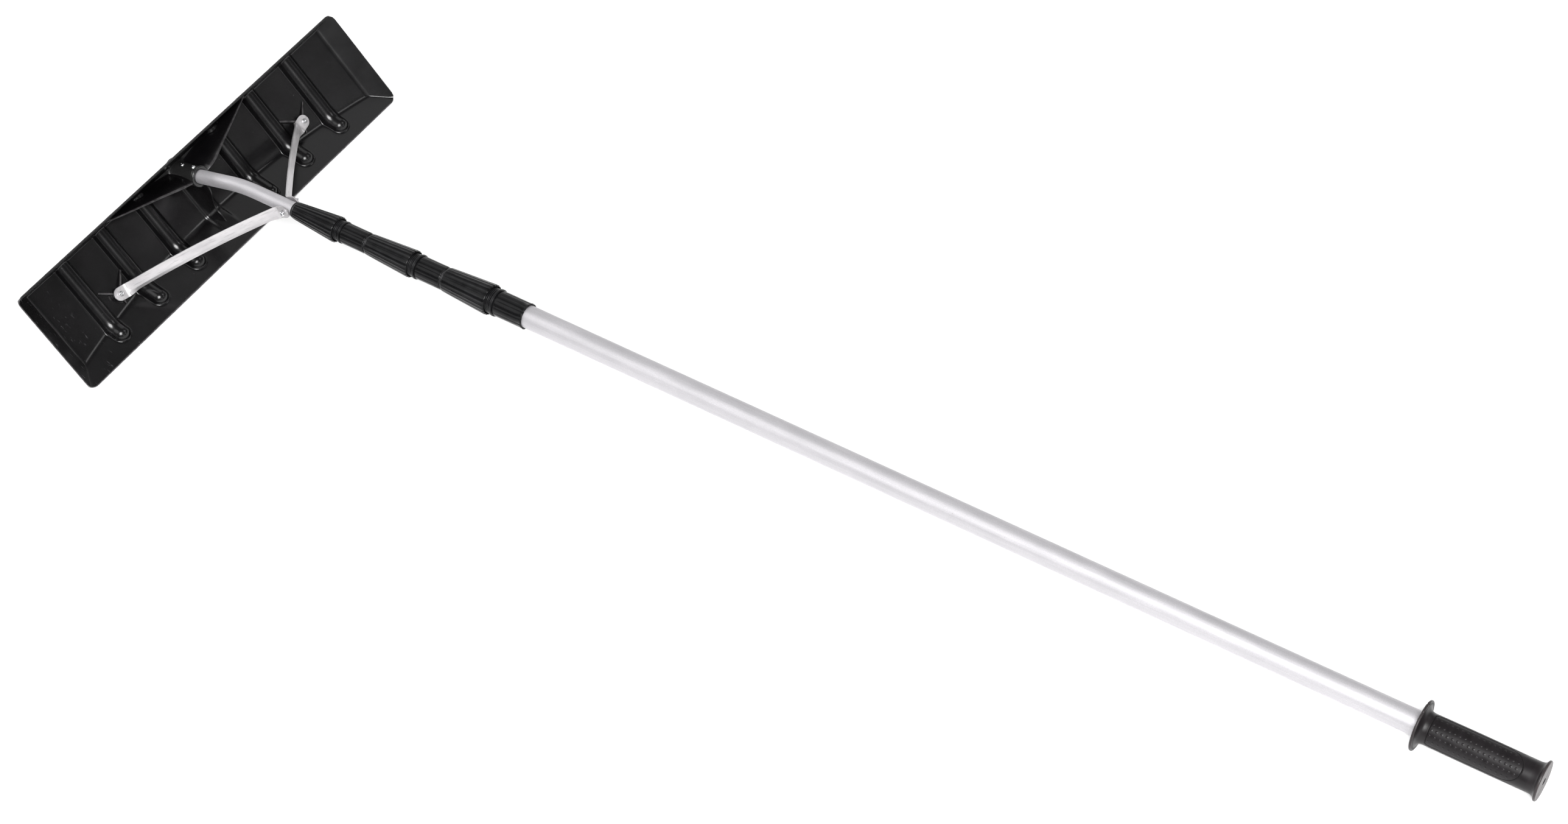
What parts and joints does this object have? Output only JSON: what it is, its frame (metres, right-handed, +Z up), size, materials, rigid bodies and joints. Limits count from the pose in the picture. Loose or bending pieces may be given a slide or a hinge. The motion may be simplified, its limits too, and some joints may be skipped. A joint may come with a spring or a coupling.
{
  "type": "telescoping snow roof rake",
  "caption": "Long-handled snow rake: a wide ribbed plastic blade on a braced head tube, with a nested aluminium pole, twist-lock clamps and a rubber grip.",
  "frame": {"origin": "bottom centre of the collapsed rake's bounding box, on the floor it rests on", "axes": "+Y from the grip towards the blade, +X along the blade to the right when looking from the grip to the blade, +Z up"},
  "size_m": [0.635, 1.9524, 0.1233],
  "materials": {
    "blade_plastic": "semi-gloss moulded",
    "clamp_plastic": "satin moulded",
    "collet_plastic": "natural moulded",
    "grip_rubber": "matte",
    "tube_aluminium": "satin drawn",
    "brace_aluminium": "mill, lightly scratched",
    "screw_steel": "zinc plated"
  },
  "bodies": {
    "pole": {"outer_tube": "tube_aluminium", "clamp_body_3": "clamp_plastic", "collet_3": "collet_plastic", "grip": "grip_rubber"},
    "nut_3": {"clamp_nut_3": "clamp_plastic"},
    "section_3": {"tube_3": "tube_aluminium", "clamp_body_2": "clamp_plastic", "collet_2": "collet_plastic", "guide_bush_3": "collet_plastic"},
    "nut_2": {"clamp_nut_2": "clamp_plastic"},
    "section_2": {"tube_2": "tube_aluminium", "clamp_body_1": "clamp_plastic", "collet_1": "collet_plastic", "guide_bush_2": "collet_plastic"},
    "nut_1": {"clamp_nut_1": "clamp_plastic"},
    "head": {"blade": "blade_plastic", "head_tube": "tube_aluminium", "brace_left": "brace_aluminium", "brace_right": "brace_aluminium", "brace_screw_left": "screw_steel", "brace_screw_right": "screw_steel", "brace_nut_left": "screw_steel", "brace_nut_right": "screw_steel", "socket_screw_1": "screw_steel", "socket_screw_2": "screw_steel", "tube_bolt": "screw_steel", "tube_nut": "screw_steel", "guide_bush_1": "collet_plastic"}
  },
  "joints": [
    {"name": "section_3_slide", "type": "slide", "parent": "pole", "child": "section_3", "axis": [0, 0.999, 0.0445], "range_m": [0, 1.2]},
    {"name": "section_2_slide", "type": "slide", "parent": "section_3", "child": "section_2", "axis": [0, 0.999, 0.0445], "range_m": [0, 1.35]},
    {"name": "head_slide", "type": "slide", "parent": "section_2", "child": "head", "axis": [0, 0.999, 0.0445], "range_m": [0, 1.45]},
    {"name": "nut_3_twist", "type": "hinge", "parent": "pole", "child": "nut_3", "pos_m": [0, 0.47036, 0.08833], "axis": [0, 0.999, 0.0445], "range_deg": [0, 180]},
    {"name": "nut_2_twist", "type": "hinge", "parent": "section_3", "child": "nut_2", "pos_m": [0, 0.59524, 0.0939], "axis": [0, 0.999, 0.0445], "range_deg": [0, 180]},
    {"name": "nut_1_twist", "type": "hinge", "parent": "section_2", "child": "nut_1", "pos_m": [0, 0.71911, 0.09941], "axis": [0, 0.999, 0.0445], "range_deg": [0, 180]}
  ]
}
